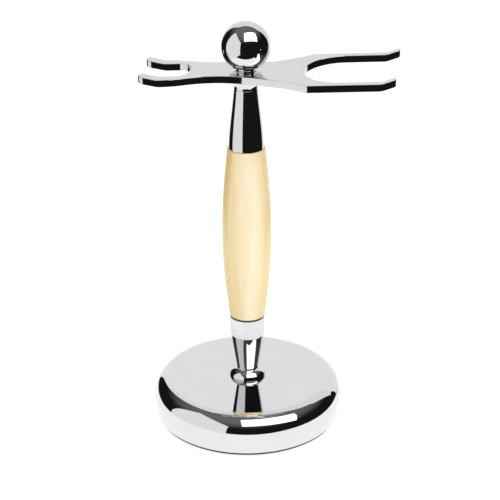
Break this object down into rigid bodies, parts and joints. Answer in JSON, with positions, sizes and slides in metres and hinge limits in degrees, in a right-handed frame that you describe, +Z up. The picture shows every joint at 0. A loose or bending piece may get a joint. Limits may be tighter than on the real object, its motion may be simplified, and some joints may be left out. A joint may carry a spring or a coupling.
{
  "type": "razor and shaving brush stand",
  "caption": "Free-standing stand with a weighted round base, turned column and a two-ended fork plate that holds a safety razor and a shaving brush.",
  "frame": {"origin": "centre of the base's flat underside, on the column's axis", "axes": "+Z up the column; +X towards the brush fork; -X towards the razor fork"},
  "size_m": [0.0882, 0.07, 0.1514],
  "materials": {
    "chrome": "mirror polished",
    "satin_metal": "satin",
    "ivory_resin": "polished resin with faint grain",
    "felt": "pressed felt",
    "seal": "matte",
    "cast_iron": "raw casting",
    "zinc_plate": "zinc plated"
  },
  "bodies": {
    "stand": {"base_pad": "felt", "base_shell": "chrome", "base_weight": "cast_iron", "base_washer": "zinc_plate", "base_lock_washer": "zinc_plate", "base_nut": "zinc_plate", "tie_rod": "zinc_plate", "foot_ferrule": "chrome", "handle_ring": "satin_metal", "handle_seal": "seal", "handle_barrel": "ivory_resin", "upper_sleeve": "chrome", "plate_collar": "chrome"},
    "fork": {"fork_plate": "chrome"},
    "neck": {"neck_washer": "chrome"},
    "ball": {"ball_finial": "chrome", "ball_stud": "zinc_plate"}
  },
  "joints": [
    {"name": "fork_swivel", "type": "hinge", "parent": "stand", "child": "fork", "pos_m": [0, 0, 0.13295], "axis": [0, 0, 1], "continuous": true},
    {"name": "ball_rise", "type": "slide", "parent": "stand", "child": "neck", "axis": [0, 0, 1], "range_m": [0, 0.008]},
    {"name": "ball_turn", "type": "hinge", "parent": "neck", "child": "ball", "pos_m": [0, 0, 0.14275], "axis": [0, 0, 1], "range_deg": [0, 3600]}
  ],
  "couplings": [
    {"joint": "ball_turn", "follows": "ball_rise", "rad_per_m": 7854}
  ]
}
